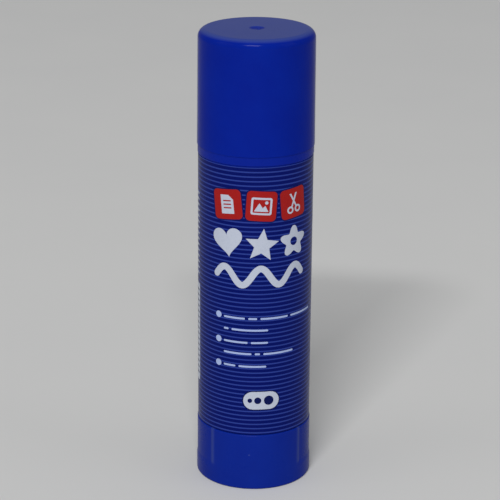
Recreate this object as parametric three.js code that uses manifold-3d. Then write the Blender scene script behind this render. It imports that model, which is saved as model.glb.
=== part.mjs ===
// A twist-up glue stick: a round barrel with a wrap label, a pull-off cap, a turning base knob,
// and inside it a screw spindle that lifts a carrier with the stick of glue.
// Millimetres, +Z up. The origin is on the barrel's axis, on the surface that the knob stands on.
// The front of the label faces -Y.
import * as THREE from 'three';
import { mergeVertices } from 'three/addons/utils/BufferGeometryUtils.js';
import Module from 'manifold-3d';

const wasm = await Module();
wasm.setup();

// Clearances
const runningGap = 0.3; // between pieces that turn, slide or seat on each other
const capGap = 0.2; // between the neck's bead and the cap
const filmGap = 0.03; // between the label film and the barrel it is wrapped on

// Barrel: a tube with a bearing floor, a shoulder band, a neck, and a journal that the knob turns on
const boreRadius = 12;
const barrelWall = 2.25;
const neckWall = 1.1;
const neckLength = 12.5;
const neckBead = 0.2;
const neckBeadHeight = 1.2;
const neckBeadRise = 6.3; // height of the bead above the shoulder
const mouthChamfer = 0.35;
const bandProud = 0.25; // how far the band stands out past the tube
const bandHeight = 1.82;
const bandRounding = 0.15;
const shoulderHeight = 72.7; // from the knob to the shoulder that the cap sits on
const journalStep = 1.35; // how far the journal is set in from the tube
const journalWall = 1.7;
const journalDepth = 5.7; // how far the journal reaches down inside the knob
const journalChamfer = 0.4;
const bearingFloor = 1.6;
const bearingDepth = 1.7; // from the knob's rim down to the underside of the bearing floor
const keywayWidth = 2.2;
const keywayDepth = 0.85;
const keywayEnd = 2.8; // from the keyway's top up to the shoulder

// Snap: a bead inside the knob that holds it in a groove of the journal
const snapHeight = 0.6;
const snapHold = 0.2; // how far the bead reaches past the journal's surface
const snapRise = 2.2; // height of the bead's middle above the journal's foot

// Label: a thin film wrapped round the barrel, its two edges meeting at the back
const labelFilm = 0.12;
const labelMargin = 0.15; // bare barrel above and below the film
const labelSeam = 0.4;

// Base knob: a cup that stands on its foot ring
const knobHeight = 14.8;
const knobWall = 1.475;
const knobFloor = 1.6;
const knobRimRounding = 0.3;
const footRingHeight = 4.3; // height of the full ring below the two finger recesses
const footRingWidth = 2.5;
const footHollow = 0.8; // how far the underside is set up inside the foot ring
const footRounding = 0.5;
const recessDepth = 0.14;
const recessHalfAngle = 42; // degrees, from the middle of a recess to its end
const recessEndSlope = 3; // degrees that the sloping end takes
const recessLedge = 1.2; // height of the sloping ledge over the foot ring
const knobTurn = 2; // degrees that the knob was left turned
const hubWall = 1.75;
const socketFloor = 3.2; // thickness under the socket
const knobRibs = 6;
const knobRibWidth = 1.2;

// Cap: one moulding with a flat crown
const capLength = 28.8;
const capWall = 1.16;
const capDraft = 0.18; // how much less its radius is at the crown, so that it leaves its mould
const crownWall = 1.3;
const crownFillet = 2.1;
const crownInnerFillet = 1.2;
const capRimRounding = 0.3;
const gateRadius = 1.95; // the shallow dish round the moulding gate
const gateDepth = 0.35;
const gateNubRadius = 0.45;
const gateNubHeight = 0.25;
const capRibs = 8;
const capRibHeight = 0.6;
const capRibWidth = 0.8;

// Screw spindle: a coarse left-hand screw, so that a clockwise turn seen from below lifts the glue
const threadLead = 4.5;
const threadCrest = 4.4; // radius over the thread
const threadRoot = 3.2; // radius of the core
const crestHalfWidth = 0.6;
const rootHalfWidth = 1.3;
const threadRunIn = 1.6; // from the collar to the middle of the first turn
const keyRadius = 4.3; // over the corners of the hexagonal root
const keySides = 6;
const keyShoulder = 0.6; // how far the journal stands out past the key
const collarSeat = 1.8; // width of the collar's seat round the bearing's hole
const collarHeight = 1.5;
const tipTaper = 2.2; // height of the tapered end
const tipRadius = 2.3;
const spindleCover = 4; // glue over the spindle's end

// Glue carrier: a cup with a threaded nut, fins and two lugs that run in the barrel's keyways
const cupWall = 0.9;
const cupDepth = 7;
const cupFloor = 1.4;
const wiperLip = 0.15;
const wiperHeight = 0.8;
const nutWall = 1.7;
const nutLength = 12.2; // below the cup's floor
const nutRise = 4; // above the cup's floor
const finCount = 4;
const finWidth = 1.1;
const finDrop = 8; // height of the fins under the cup's floor
const finSetback = 0.4; // how far the fins stop short of the cup's side
const lugWidth = 1.6;
const lugHeight = 4;

// Glue
const glueRecess = 3.5; // from the mouth down to the top of the glue
const glueRounding = 1;

// Smoothness
const shellSteps = 56;
const innerSteps = 40;
const threadSteps = 16; // per turn
const filletSteps = 2; // for a small rounding, and twice as many for a large one

// Making: joined shapes are sunk into each other, and cutters reach past what they cut
const sink = 0.5;
const past = 1;

// Heights that follow from the sizes above
const knobJoint = knobHeight + runningGap;
const journalFoot = knobJoint - journalDepth;
const snapMiddle = journalFoot + snapRise;
const bearingUnder = knobJoint - bearingDepth;
const bearingTop = bearingUnder + bearingFloor;
const shoulderTop = knobJoint + shoulderHeight;
const bandFoot = shoulderTop - bandHeight;
const neckBeadFoot = shoulderTop + neckBeadRise;
const mouth = shoulderTop + neckLength;
const capFoot = shoulderTop + runningGap;
const capTop = capFoot + capLength;
const hubTop = bearingUnder - runningGap;
const keyTop = hubTop + runningGap;
const collarFoot = bearingTop + runningGap;
const collarTop = collarFoot + collarHeight;
const threadMiddle = collarTop + threadRunIn; // height of the first turn's middle at the front
const nutFoot = collarTop + runningGap;
const cupUnder = nutFoot + nutLength;
const cupBase = cupUnder + cupFloor;
const cupRim = cupBase + cupDepth;
const nutTop = cupBase + nutRise;
const glueTop = mouth - glueRecess;
const spindleTop = glueTop - spindleCover;

// Radii that follow
const barrelRadius = boreRadius + barrelWall;
const bandRadius = barrelRadius + bandProud;
const neckRadius = boreRadius + neckWall;
const journalOuter = barrelRadius - journalStep;
const journalInner = journalOuter - journalWall;
const keywayRadius = boreRadius + keywayDepth;
const labelInner = barrelRadius + filmGap;
const labelOuter = labelInner + labelFilm;
const knobBore = journalOuter + runningGap;
const knobRadius = knobBore + knobWall;
const hubRadius = keyRadius + runningGap + hubWall;
const capBore = neckRadius + neckBead + capGap;
const capRadius = capBore + capWall;
const journalRadius = keyRadius + keyShoulder;
const bearingBore = journalRadius + runningGap;
const collarRadius = bearingBore + collarSeat;
const carrierRadius = boreRadius - runningGap;
const cupInner = carrierRadius - cupWall;
const nutRadius = threadCrest + runningGap + nutWall;
const glueRadius = boreRadius - runningGap;

// Colours as the plastics show them
const plasticBlue = 0x14298c;
const labelBlue = 0x06196b;
const naturalPlastic = 0xe6e6de;
const glueWhite = 0xf1eee3;

// A solid from a closed geometry, with its doubled vertices merged and its empty triangles dropped
function toSolid(geometry) {
  const bare = geometry.index ? geometry.toNonIndexed() : geometry.clone();
  bare.deleteAttribute('normal');
  bare.deleteAttribute('uv');
  const merged = mergeVertices(bare, 1e-5);
  const corners = merged.index.array;
  const triangles = [];
  for (let i = 0; i < corners.length; i += 3) {
    const [a, b, c] = [corners[i], corners[i + 1], corners[i + 2]];
    if (a !== b && b !== c && c !== a) triangles.push(a, b, c);
  }
  const mesh = new wasm.Mesh({
    numProp: 3,
    vertProperties: new Float32Array(merged.attributes.position.array),
    triVerts: new Uint32Array(triangles),
  });
  return new wasm.Manifold(mesh);
}

function toGeometry(solid) {
  const mesh = solid.getMesh();
  const geometry = new THREE.BufferGeometry();
  geometry.setAttribute('position', new THREE.BufferAttribute(new Float32Array(mesh.vertProperties), 3));
  geometry.setIndex(new THREE.BufferAttribute(new Uint32Array(mesh.triVerts), 1));
  geometry.computeVertexNormals();
  return geometry;
}

// A solid of revolution about Z from [radius, height] points, anticlockwise round the section,
// with its facets turned by an angle in degrees
function revolve(outline, steps, degrees = 0) {
  const closed = [...outline, outline[0]].map(([radius, height]) => new THREE.Vector2(radius, height));
  const lathe = new THREE.LatheGeometry(closed, steps);
  lathe.rotateX(Math.PI / 2);
  lathe.rotateZ(THREE.MathUtils.degToRad(degrees));
  return toSolid(lathe);
}

// A block from its lowest corner to its highest, then turned about Z by an angle in degrees
function block(low, high, degrees = 0) {
  const [width, depth, height] = [high[0] - low[0], high[1] - low[1], high[2] - low[2]];
  const box = new THREE.BoxGeometry(width, depth, height);
  box.translate(low[0] + width / 2, low[1] + depth / 2, low[2] + height / 2);
  box.rotateZ(THREE.MathUtils.degToRad(degrees));
  return toSolid(box);
}

// Points of an arc in a section, from one angle to another in degrees
function arc(centre, radius, from, to, steps = filletSteps) {
  return Array.from({ length: steps + 1 }, (_, i) => {
    const angle = THREE.MathUtils.degToRad(from + ((to - from) * i) / steps);
    return [centre[0] + radius * Math.cos(angle), centre[1] + radius * Math.sin(angle)];
  });
}

// The screw as one closed surface: the thread's section is carried up a left-hand helix, and the
// root of each turn joins the next turn's. A clearance widens it all round, to cut a nut with it.
function screw(low, high, clearance) {
  const flank = (rootHalfWidth - crestHalfWidth) / (threadCrest - threadRoot);
  const spread = clearance * Math.hypot(1, flank);
  const halfAt = (radius) => crestHalfWidth + (threadCrest - radius) * flank + spread;
  const root = threadRoot + clearance;
  const crest = threadCrest + clearance;
  const section = [
    [root, -halfAt(root)],
    [crest, -halfAt(crest)],
    [crest, halfAt(crest)],
    [root, halfAt(root)],
  ];
  const rise = threadLead / threadSteps;
  const firstStep = Math.floor((low - threadMiddle) / rise) - threadSteps;
  const rings = Math.ceil((high - low) / rise) + 2 * threadSteps;
  const positions = [];
  for (let ring = 0; ring <= rings; ring++) {
    const step = firstStep + ring;
    const angle = (-2 * Math.PI * step) / threadSteps;
    for (const [radius, offset] of section) {
      const height = threadMiddle + rise * step + offset;
      positions.push(radius * Math.sin(angle), -radius * Math.cos(angle), height);
    }
  }
  const at = (ring, corner) => ring * section.length + corner;
  const triangles = [];
  const addQuad = (a, b, c, d) => triangles.push(a, c, b, a, d, c);
  for (let ring = 0; ring < rings; ring++) {
    for (let corner = 0; corner < 3; corner++) {
      addQuad(at(ring, corner), at(ring + 1, corner), at(ring + 1, corner + 1), at(ring, corner + 1));
    }
    const above = ring + threadSteps;
    if (above < rings) addQuad(at(ring, 3), at(ring + 1, 3), at(above + 1, 0), at(above, 0));
  }
  // Each end is closed by a fan from the axis to the last turn's edge and the section's own edge
  const turn = Array.from({ length: threadSteps + 1 }, (_, i) => i);
  const lowerEdge = [...turn.map((i) => at(i, 0)), at(0, 3), at(0, 2), at(0, 1), at(0, 0)];
  const upperEdge = [...turn.map((i) => at(rings - i, 3)), at(rings, 0), at(rings, 1), at(rings, 2), at(rings, 3)];
  const lowerMiddle = threadMiddle + rise * (firstStep + threadSteps / 2) - halfAt(root);
  const upperMiddle = threadMiddle + rise * (firstStep + rings - threadSteps / 2) + halfAt(root);
  for (const [edge, middle] of [[lowerEdge, lowerMiddle], [upperEdge, upperMiddle]]) {
    const centre = positions.length / 3;
    positions.push(0, 0, middle);
    for (let i = 0; i + 1 < edge.length; i++) triangles.push(centre, edge[i], edge[i + 1]);
  }
  const surface = new THREE.BufferGeometry();
  surface.setAttribute('position', new THREE.BufferAttribute(new Float32Array(positions), 3));
  surface.setIndex(triangles);
  return toSolid(surface);
}

// A hexagonal prism for the spindle's root and its socket
function hexagon(radius, low, high) {
  const prism = new THREE.CylinderGeometry(radius, radius, high - low, keySides);
  prism.rotateX(Math.PI / 2);
  prism.translate(0, 0, (low + high) / 2);
  return toSolid(prism);
}

// One finger recess: a shallow ring cut from the knob's side, cropped to a sector.
// Its ledge and its two ends slope, and the slopes run on past the knob's surface.
function recessCutter(degrees) {
  const floorRadius = knobRadius - recessDepth;
  const runOn = past / recessDepth;
  const top = knobHeight + past;
  const ring = revolve([
    [floorRadius, footRingHeight + recessLedge],
    [knobRadius + past, footRingHeight - recessLedge * runOn],
    [knobRadius + past, top],
    [floorRadius, top],
  ], shellSteps, degrees);
  const corner = (radius, angle) => {
    const radians = THREE.MathUtils.degToRad(angle);
    return new THREE.Vector2(radius * Math.cos(radians), radius * Math.sin(radians));
  };
  const innerAngle = recessHalfAngle - recessEndSlope;
  const outerAngle = recessHalfAngle + recessEndSlope * runOn;
  const farRadius = 2 * knobRadius;
  const sector = new THREE.Shape([
    corner(floorRadius, -innerAngle),
    corner(knobRadius + past, -outerAngle),
    corner(farRadius, -outerAngle),
    corner(farRadius, outerAngle),
    corner(knobRadius + past, outerAngle),
    corner(floorRadius, innerAngle),
  ]);
  const prism = new THREE.ExtrudeGeometry(sector, { depth: top, bevelEnabled: false });
  prism.rotateZ(THREE.MathUtils.degToRad(degrees));
  return ring.intersect(toSolid(prism));
}

function makeKnob() {
  const floorTop = footHollow + knobFloor;
  const bead = journalOuter - snapHold;
  let knob = revolve([
    [knobRadius - footRingWidth, 0],
    ...arc([knobRadius - footRounding, footRounding], footRounding, -90, 0),
    ...arc([knobRadius - knobRimRounding, knobHeight - knobRimRounding], knobRimRounding, 0, 90),
    [knobBore, knobHeight],
    [knobBore, snapMiddle + snapHeight],
    [bead, snapMiddle + snapHeight / 2],
    [bead, snapMiddle - snapHeight / 2],
    [knobBore, snapMiddle - snapHeight / 2],
    [knobBore, floorTop],
    [hubRadius, floorTop],
    [hubRadius, hubTop],
    [0, hubTop],
    [0, footHollow],
    [knobRadius - footRingWidth, footHollow],
  ], shellSteps);
  const ribTop = journalFoot - runningGap;
  for (let i = 0; i < knobRibs; i++) {
    const low = [hubRadius - sink, -knobRibWidth / 2, floorTop - sink];
    const high = [knobBore + sink, knobRibWidth / 2, ribTop];
    knob = knob.add(block(low, high, (360 * i) / knobRibs));
  }
  const socketRadius = keyRadius + runningGap / Math.cos(Math.PI / keySides);
  knob = knob.subtract(hexagon(socketRadius, footHollow + socketFloor, hubTop + past));
  return knob.subtract(recessCutter(knobTurn)).subtract(recessCutter(knobTurn + 180));
}

function makeSpindle() {
  const keyFoot = footHollow + socketFloor + runningGap;
  const collar = revolve([
    [0, keyTop],
    [journalRadius, keyTop],
    [journalRadius, collarFoot],
    [collarRadius, collarFoot],
    [collarRadius, collarTop],
    [0, collarTop],
  ], innerSteps);
  const inCollar = collarTop - collarHeight / 2;
  const envelope = revolve([
    [0, inCollar],
    [threadCrest + past, inCollar],
    [threadCrest + past, spindleTop - tipTaper],
    [tipRadius, spindleTop],
    [0, spindleTop],
  ], innerSteps);
  const thread = screw(inCollar, spindleTop, 0).intersect(envelope);
  return collar.add(hexagon(keyRadius, keyFoot, keyTop + sink)).add(thread);
}

function makeBarrel() {
  const grooveRadius = journalOuter - snapHold - runningGap;
  const grooveHalf = snapHeight / 2 + runningGap;
  let barrel = revolve([
    [journalInner, journalFoot],
    [journalOuter - journalChamfer, journalFoot],
    [journalOuter, journalFoot + journalChamfer],
    [journalOuter, snapMiddle - grooveHalf],
    [grooveRadius, snapMiddle - grooveHalf],
    [grooveRadius, snapMiddle + grooveHalf],
    [journalOuter, snapMiddle + grooveHalf + snapHeight / 2],
    [journalOuter, knobJoint],
    [barrelRadius, knobJoint],
    [barrelRadius, bandFoot - bandProud],
    [bandRadius, bandFoot],
    ...arc([bandRadius - bandRounding, shoulderTop - bandRounding], bandRounding, 0, 90),
    [neckRadius, shoulderTop],
    [neckRadius, neckBeadFoot],
    [neckRadius + neckBead, neckBeadFoot + neckBeadHeight / 3],
    [neckRadius + neckBead, neckBeadFoot + (2 * neckBeadHeight) / 3],
    [neckRadius, neckBeadFoot + neckBeadHeight],
    [neckRadius, mouth - mouthChamfer],
    [neckRadius - mouthChamfer, mouth],
    [boreRadius + mouthChamfer, mouth],
    [boreRadius, mouth - mouthChamfer],
    [boreRadius, bearingTop],
    [bearingBore, bearingTop],
    [bearingBore, bearingUnder],
    [journalInner, bearingUnder],
  ], shellSteps);
  for (const degrees of [0, 180]) {
    const low = [boreRadius - past, -keywayWidth / 2, bearingTop];
    const high = [keywayRadius, keywayWidth / 2, shoulderTop - keywayEnd];
    barrel = barrel.subtract(block(low, high, degrees));
  }
  return barrel;
}

function makeLabel() {
  const foot = knobJoint + labelMargin;
  const top = bandFoot - bandProud - labelMargin;
  const film = revolve([
    [labelInner, foot],
    [labelOuter, foot],
    [labelOuter, top],
    [labelInner, top],
  ], shellSteps);
  const low = [-labelSeam / 2, labelInner - past, foot - past];
  return film.subtract(block(low, [labelSeam / 2, labelOuter + past, top + past]));
}

function makeCap() {
  const crownRadius = capRadius - capDraft;
  const boreTop = capBore - capDraft;
  const crownUnder = capTop - crownWall;
  const gateFloor = capTop - gateDepth;
  const groove = capBore + neckBead / 2;
  let cap = revolve([
    [capBore + capRimRounding / 2, capFoot],
    ...arc([capRadius - capRimRounding, capFoot + capRimRounding], capRimRounding, -90, 0),
    ...arc([crownRadius - crownFillet, capTop - crownFillet], crownFillet, 0, 90, 2 * filletSteps),
    [gateRadius, capTop],
    [gateRadius - gateDepth, gateFloor],
    [gateNubRadius, gateFloor],
    [gateNubRadius, gateFloor + gateNubHeight],
    [0, gateFloor + gateNubHeight],
    [0, crownUnder],
    ...arc([boreTop - crownInnerFillet, crownUnder - crownInnerFillet], crownInnerFillet, 90, 0),
    [capBore, neckBeadFoot + neckBeadHeight],
    [groove, neckBeadFoot + (2 * neckBeadHeight) / 3],
    [groove, neckBeadFoot + neckBeadHeight / 3],
    [capBore, neckBeadFoot],
    [capBore, capFoot + capRimRounding / 2],
  ], shellSteps);
  for (let i = 0; i < capRibs; i++) {
    const low = [boreTop - capRibHeight, -capRibWidth / 2, mouth + runningGap];
    const high = [boreTop + sink, capRibWidth / 2, crownUnder + sink];
    cap = cap.add(block(low, high, (360 * (i + 0.5)) / capRibs));
  }
  return cap;
}

function makeCarrier() {
  const wiperFoot = cupRim - wiperHeight;
  let carrier = revolve([
    [0, nutFoot],
    [nutRadius, nutFoot],
    [nutRadius, cupUnder],
    [carrierRadius, cupUnder],
    [carrierRadius, wiperFoot],
    [carrierRadius + wiperLip, wiperFoot + wiperLip],
    [carrierRadius + wiperLip, cupRim],
    [cupInner, cupRim],
    [cupInner, cupBase],
    [nutRadius, cupBase],
    [nutRadius, nutTop],
    [0, nutTop],
  ], innerSteps);
  const finFoot = cupUnder - finDrop;
  const innerEnd = nutRadius - sink;
  const split = cupUnder + cupFloor / 2;
  for (let i = 0; i < finCount; i++) {
    const turn = (360 * i) / finCount;
    const outerEnd = carrierRadius - finSetback;
    const under = block([innerEnd, -finWidth / 2, finFoot], [outerEnd, finWidth / 2, split], turn);
    const anchor = block([innerEnd, -finWidth / 2, split], [cupInner + sink, finWidth / 2, nutTop], turn);
    carrier = carrier.add(under).add(anchor);
  }
  for (const degrees of [0, 180]) {
    const low = [carrierRadius - finSetback - sink, -lugWidth / 2, finFoot];
    const high = [keywayRadius - runningGap, lugWidth / 2, finFoot + lugHeight];
    carrier = carrier.add(block(low, high, degrees));
  }
  return carrier.subtract(screw(nutFoot, nutTop, runningGap));
}

function makeGlue() {
  const foot = cupBase + runningGap;
  const footRadius = cupInner - runningGap;
  const footTop = cupRim + runningGap;
  const wellRadius = threadCrest + runningGap;
  const wellTop = spindleTop + runningGap;
  const nutWell = nutRadius + runningGap;
  const nutWellTop = nutTop + runningGap;
  let glue = revolve([
    [nutWell, foot],
    [footRadius, foot],
    [footRadius, footTop],
    [glueRadius, footTop],
    ...arc([glueRadius - glueRounding, glueTop - glueRounding], glueRounding, 0, 90, 2 * filletSteps),
    [0, glueTop],
    [0, wellTop],
    [wellRadius, wellTop],
    [wellRadius, nutWellTop],
    [nutWell, nutWellTop],
  ], innerSteps);
  const slotHalf = finWidth / 2 + runningGap;
  for (let i = 0; i < finCount; i++) {
    const low = [nutRadius - sink, -slotHalf, foot - past];
    const high = [footRadius + past, slotHalf, nutWellTop];
    glue = glue.subtract(block(low, high, (360 * i) / finCount));
  }
  return glue;
}

// Adds a piece to its parent, in its own plastic
function addPiece(parent, name, solid, color, roughness) {
  const material = new THREE.MeshStandardMaterial({ color, roughness, metalness: 0 });
  const piece = new THREE.Mesh(toGeometry(solid), material);
  piece.name = name;
  parent.add(piece);
}

const glueStick = new THREE.Group();
addPiece(glueStick, 'barrel', makeBarrel(), plasticBlue, 0.4);
addPiece(glueStick, 'label', makeLabel(), labelBlue, 0.35);
addPiece(glueStick, 'cap', makeCap(), plasticBlue, 0.45);
addPiece(glueStick, 'base_knob', makeKnob(), plasticBlue, 0.4);
addPiece(glueStick, 'screw_spindle', makeSpindle(), naturalPlastic, 0.4);
addPiece(glueStick, 'glue_carrier', makeCarrier(), naturalPlastic, 0.4);
addPiece(glueStick, 'glue', makeGlue(), glueWhite, 0.6);

export default glueStick;
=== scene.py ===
# %% [markdown]
# # A twist-up glue stick
#
# A glue stick is five mouldings, a printed film and a stick of glue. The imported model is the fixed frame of
# this lesson: it says where each piece lies and how large it is. Here every piece gets its fine surface and
# its finish. Lengths are worked out in millimetres and become metres where a mesh or a pattern is made.
# Angles are in degrees, unless a helper asks for radians.

# %% Load the frame
import functools
import math

import bmesh
import bpy
from mathutils import Matrix, Vector


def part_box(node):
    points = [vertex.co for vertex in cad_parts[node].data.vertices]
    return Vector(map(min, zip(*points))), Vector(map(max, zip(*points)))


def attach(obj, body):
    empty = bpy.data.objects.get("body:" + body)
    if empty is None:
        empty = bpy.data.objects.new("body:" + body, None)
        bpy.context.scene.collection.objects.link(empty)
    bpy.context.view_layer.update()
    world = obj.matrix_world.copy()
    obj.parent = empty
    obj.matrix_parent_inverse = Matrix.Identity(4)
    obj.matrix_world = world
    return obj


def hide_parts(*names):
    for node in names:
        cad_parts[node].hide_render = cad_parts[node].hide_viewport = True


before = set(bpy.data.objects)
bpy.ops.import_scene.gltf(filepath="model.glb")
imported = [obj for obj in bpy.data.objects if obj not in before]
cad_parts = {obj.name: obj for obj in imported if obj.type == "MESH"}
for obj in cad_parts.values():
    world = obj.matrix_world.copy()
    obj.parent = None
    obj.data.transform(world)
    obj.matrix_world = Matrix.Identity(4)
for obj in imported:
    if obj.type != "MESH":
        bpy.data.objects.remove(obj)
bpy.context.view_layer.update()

mm = 0.001

# %% [markdown]
# ## Sizes
#
# A node's box in the frame gives its outer radius, its foot and its top. Everything that fits inside or on
# another piece starts from those, with the same walls and clearances as the solids have. Where the real
# pieces seem to meet, as at the knob's rim, the running gap is drawn narrower than in the solids.

# %% Read each node's size


def span(node):
    """Outer radius, foot and top of a node, in millimetres."""
    low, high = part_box(node)
    return high.x / mm, low.z / mm, high.z / mm


band_radius, journal_foot, mouth = span("barrel")
label_radius, label_foot, label_top = span("label")
cap_radius, cap_foot, cap_top = span("cap")
knob_radius, knob_foot, knob_top = span("base_knob")
collar_radius, key_foot, spindle_top = span("screw_spindle")
lug_radius, nut_foot, cup_rim = span("glue_carrier")
glue_radius, glue_foot, glue_top = span("glue")
running_gap = 0.3
knob_turned = 3
rim_gap = 0.08
rim_rise = 0.2
rim_height = knob_top + rim_rise
recess_half_angle = 42
print(f"cap {2 * cap_radius:.2f} mm across, the stick {cap_top:.2f} mm tall")

# %% [markdown]
# ## Turning a profile
#
# Most of these pieces are round, because they come from turned mould cavities. So each one starts as a
# profile of [radius, height] points, and `bmesh.ops.spin` turns it once round the axis. Two habits make the
# surface read as moulded plastic: every corner of the profile gets a small rounding before the turn, and
# every long straight run gets a support loop near its ends, which keeps the shading of the rounding there.

# %% Helpers for turned shapes
full_turn = math.tau
weld = 0.0005 * mm
sharp_corner = math.radians(25)
turn_steps = 180


def arc(centre, radius, start, end, steps=6):
    """Points of a rounding in a profile, from one angle to another in degrees."""
    points = []
    for i in range(steps + 1):
        angle = math.radians(start + (end - start) * i / steps)
        points.append((centre[0] + radius * math.cos(angle), centre[1] + radius * math.sin(angle)))
    return points


def wire(profile, closed):
    """A bmesh with the profile as a chain of edges in the XZ plane."""
    bm = bmesh.new()
    points = [bm.verts.new((radius * mm, 0, height * mm)) for radius, height in profile]
    ends = points[1:] + (points[:1] if closed else [])
    for first, second in zip(points, ends):
        bm.edges.new((first, second))
    return bm


def soften(bm, rounding):
    """Rounds the profile's sharp corners, except those on the axis."""
    corners = []
    for vert in bm.verts:
        if len(vert.link_edges) == 2 and vert.co.x > weld:
            first, second = (edge.other_vert(vert).co - vert.co for edge in vert.link_edges)
            if math.pi - first.angle(second) > sharp_corner:
                corners.append(vert)
    bmesh.ops.bevel(bm, geom=corners, offset=rounding * mm, offset_type="OFFSET", affect="VERTICES",
                    segments=3, profile=0.5, material=-1, clamp_overlap=True)


def support(bm, reach=0.12):
    """Splits long straight runs close to both ends, so that shading stays in the roundings."""
    for edge in [edge for edge in bm.edges if edge.calc_length() > 5 * reach * mm]:
        share = reach * mm / edge.calc_length()
        near, far = edge.verts
        middle = bmesh.utils.edge_split(edge, near, share)[1]
        rest = next(link for link in far.link_edges if middle in link.verts)
        bmesh.utils.edge_split(rest, far, share / (1 - share))


def everything(bm):
    return bm.verts[:] + bm.edges[:] + bm.faces[:]


def rotate_about_axis(bm, angle):
    """Turns everything in a bmesh about Z, by radians."""
    bmesh.ops.rotate(bm, verts=bm.verts, cent=(0, 0, 0), matrix=Matrix.Rotation(angle, 3, "Z"))


def sweep(bm, angle, steps, rise=0, merge=False):
    """Spins everything in a bmesh about Z, by radians, and lifts it by the rise at each step."""
    bmesh.ops.spin(bm, geom=everything(bm), cent=(0, 0, 0), axis=(0, 0, 1), dvec=(0, 0, rise), angle=angle,
                   steps=steps, use_merge=merge)


def turned(profile, closed=False, rounding=0.08, steps=turn_steps):
    """A closed solid of revolution about Z. A profile that isn't closed starts and ends on the axis."""
    bm = wire(profile, closed)
    soften(bm, rounding)
    support(bm)
    sweep(bm, full_turn, steps, merge=True)
    bmesh.ops.remove_doubles(bm, verts=bm.verts, dist=weld)
    bmesh.ops.recalc_face_normals(bm, faces=bm.faces)
    return bm


# %% [markdown]
# ## Joining and cutting
#
# Ribs, keyways and threads aren't round. They are made as plain tools and joined to the turned body, or cut
# from it, with a Boolean modifier. The result is read back from the modifier at once, so no piece depends on
# a live modifier or a hidden helper object. A joined block sinks a little into the body, and a cutter
# reaches past it, because a Boolean goes wrong where two faces lie in one plane.

# %% Helpers for joins, cuts and blocks
sink = 0.5
overcut = 1


def to_object(bm, name):
    mesh = bpy.data.meshes.new(name)
    bm.to_mesh(mesh)
    bm.free()
    piece = bpy.data.objects.new(name, mesh)
    bpy.context.scene.collection.objects.link(piece)
    return piece


def combine(body, tools, operation):
    """Joins tools to a body (UNION) or cuts them from it (DIFFERENCE), and returns the new bmesh."""
    target = to_object(body, "target")
    helpers = [to_object(tool, "helper") for tool in tools]
    for helper in helpers:
        modifier = target.modifiers.new("combine", "BOOLEAN")
        modifier.operation = operation
        modifier.solver = "EXACT"
        modifier.object = helper
    bpy.context.view_layer.update()
    result = bmesh.new()
    result.from_object(target, bpy.context.evaluated_depsgraph_get())
    for thing in [target, *helpers]:
        bpy.data.meshes.remove(thing.data)
    bmesh.ops.remove_doubles(result, verts=result.verts, dist=weld)
    bmesh.ops.dissolve_degenerate(result, dist=weld, edges=result.edges)
    return result


def block(low, high, degrees):
    """A block between two corners in millimetres, turned about Z."""
    bm = bmesh.new()
    size = Vector(high) - Vector(low)
    middle = (Vector(high) + Vector(low)) / 2
    place = Matrix.Rotation(math.radians(degrees), 4, "Z") @ Matrix.Translation(middle * mm)
    bmesh.ops.create_cube(bm, size=1, matrix=place @ Matrix.Diagonal((*(size * mm), 1)))
    return bm


def blocks_around(low, high, count, shift=0):
    """Copies of one block, spaced evenly round the axis. A shift of 0.5 turns them by half a step."""
    return [block(low, high, 360 * (i + shift) / count) for i in range(count)]


def radius_of(vert):
    return math.hypot(vert.co.x, vert.co.y)


# %% [markdown]
# ## Finishing a piece
#
# A finished piece sits at the origin with its place in its mesh, rides on the body that carries it, and
# hides the plain solid that it stands for. Faces are smooth, and only true creases stay sharp. An open edge
# is one that isn't shared by exactly two faces. A closed piece has none.

# %% Helper that turns a bmesh into a riding piece
crease = math.radians(32)


def finish_piece(bm, name, body, material, replaced=()):
    for face in bm.faces:
        face.smooth = True
    for edge in bm.edges:
        edge.smooth = edge.calc_face_angle(0) < crease
    gaps = sum(len(edge.link_faces) != 2 for edge in bm.edges)
    piece = to_object(bm, name)
    piece.data.materials.append(material)
    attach(piece, body)
    if replaced:
        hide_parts(*replaced)
    print(f"{name}: {len(piece.data.polygons)} faces, {gaps} open edges")


# %% [markdown]
# ## Colours and nodes
#
# Colours are written as the hex values that a screen shows, and one function makes them linear for the
# shader. One function adds a node: its settings go by property name, or by socket name or number. Every
# shader node's type starts with ShaderNode, so the calls leave that out. A new material comes with a `node`
# function, which is the same one with the material's tree filled in.

# %% Helpers for colours and nodes


def colour(code):
    """A linear RGBA colour from an sRGB hex value."""
    channels = [int(code[i:i + 2], 16) / 255 for i in (1, 3, 5)]
    linear = [c / 12.92 if c <= 0.04045 else ((c + 0.055) / 1.055) ** 2.4 for c in channels]
    return (*linear, 1)


def add_node(tree, kind, settings=None, links=None):
    """Adds a node, sets its properties and sockets, and links its inputs from nodes or their outputs."""
    node = tree.nodes.new("ShaderNode" + kind)
    for key, value in (settings or {}).items():
        if isinstance(key, str) and hasattr(node, key):
            setattr(node, key, value)
        else:
            node.inputs[key].default_value = value
    for key, source in (links or {}).items():
        output = source.outputs[0] if isinstance(source, bpy.types.Node) else source
        tree.links.new(output, node.inputs[key])
    return node


def new_material(name):
    """A bare material, its node function, and the object coordinates that patterns read."""
    material = bpy.data.materials.new(name)
    material.use_nodes = True
    material.node_tree.nodes.clear()
    node = functools.partial(add_node, material.node_tree)
    return material, node, node("TexCoord").outputs["Object"]


def per_mm(size):
    """The scale of a pattern whose features are this many millimetres apart, on coordinates in metres."""
    return 1 / (size * mm)


# Noise mostly lies within this span, so a Map Range node that starts from it uses its whole target range
noise_span = {"From Min": 0.35, "From Max": 0.65}

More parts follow.
